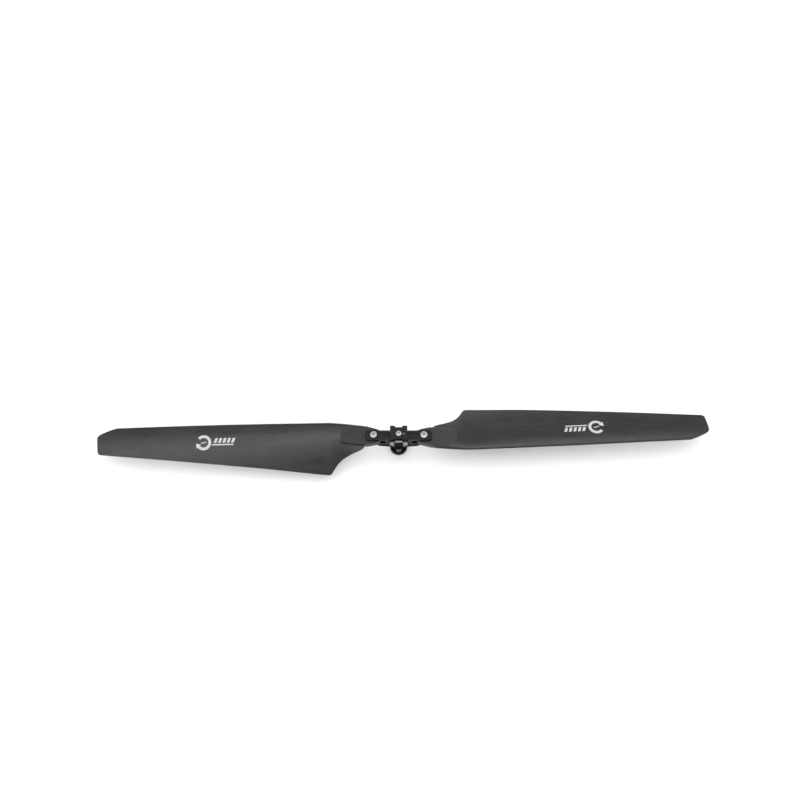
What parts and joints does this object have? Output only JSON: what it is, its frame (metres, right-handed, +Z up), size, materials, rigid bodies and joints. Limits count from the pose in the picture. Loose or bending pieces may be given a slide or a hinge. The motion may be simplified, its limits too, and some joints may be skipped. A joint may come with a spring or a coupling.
{
  "type": "folding drone propeller",
  "caption": "Folding drone propeller: broad-shouldered blades hinged in a clamp hub, with a squeeze-latch quick-release centre and a flanged motor adapter.",
  "frame": {"origin": "centre of the motor seat face on the underside of the flange, on the rotation axis", "axes": "+Z up along the rotation axis, away from the motor; X along the blades; the +X blade leads with its -Y edge, so the propeller turns clockwise seen from above"},
  "size_m": [0.7608, 0.0916, 0.042],
  "materials": {
    "flange_gloss_black": "gloss black hard anodised",
    "stud_steel": "hardened and ground steel",
    "hub_black": "satin black anodised aluminium",
    "screw_steel": "polished stainless steel",
    "sleeve_steel": "ground stainless steel",
    "washer_bronze": "bearing bronze, as rolled",
    "nut_black_steel": "black oxide steel",
    "nut_nylon": "natural nylon",
    "latch_steel": "stainless sheet, tumbled, edges polished",
    "thumb_black": "gloss black moulded plastic",
    "spring_steel": "spring steel wire",
    "blade_composite": "satin carbon-fibre filled nylon, as moulded",
    "insert_aluminium": "turned aluminium"
  },
  "bodies": {
    "hub": {"adapter_flange": "flange_gloss_black", "adapter_stud": "stud_steel", "hub_yoke": "hub_black", "hub_upper_plate": "hub_black", "centre_cap": "hub_black", "centre_screw": "screw_steel", "latch_dowel": "screw_steel", "pivot_bolts": "screw_steel", "pivot_sleeves": "sleeve_steel", "thrust_washers": "washer_bronze", "pivot_nuts": "nut_black_steel", "nut_rings": "nut_nylon", "latch_springs_front": "spring_steel", "latch_springs_back": "spring_steel"},
    "latch_front": {"latch_front": "latch_steel", "thumb_pad_front": "thumb_black"},
    "latch_back": {"latch_back": "latch_steel", "thumb_pad_back": "thumb_black"},
    "blade_right": {"blade_right": "blade_composite", "blade_insert_right": "insert_aluminium"},
    "blade_left": {"blade_left": "blade_composite", "blade_insert_left": "insert_aluminium"}
  },
  "joints": [
    {"name": "blade_right_fold", "type": "hinge", "parent": "hub", "child": "blade_right", "pos_m": [0.0311, 0, 0.03025], "axis": [0, 0, 1], "range_deg": [-93.22, 86.78]},
    {"name": "blade_left_fold", "type": "hinge", "parent": "hub", "child": "blade_left", "pos_m": [-0.0311, 0, 0.03025], "axis": [0, 0, 1], "range_deg": [-91.27, 88.73]},
    {"name": "latch_front_press", "type": "slide", "parent": "hub", "child": "latch_front", "axis": [0, 1, 0], "range_m": [0, 0.0015], "stiffness_N_per_m": 900, "springref_m": -0.001, "deforming": ["latch_springs_front"]},
    {"name": "latch_back_press", "type": "slide", "parent": "hub", "child": "latch_back", "axis": [0, -1, 0], "range_m": [0, 0.0015], "stiffness_N_per_m": 900, "springref_m": -0.001, "deforming": ["latch_springs_back"]}
  ]
}
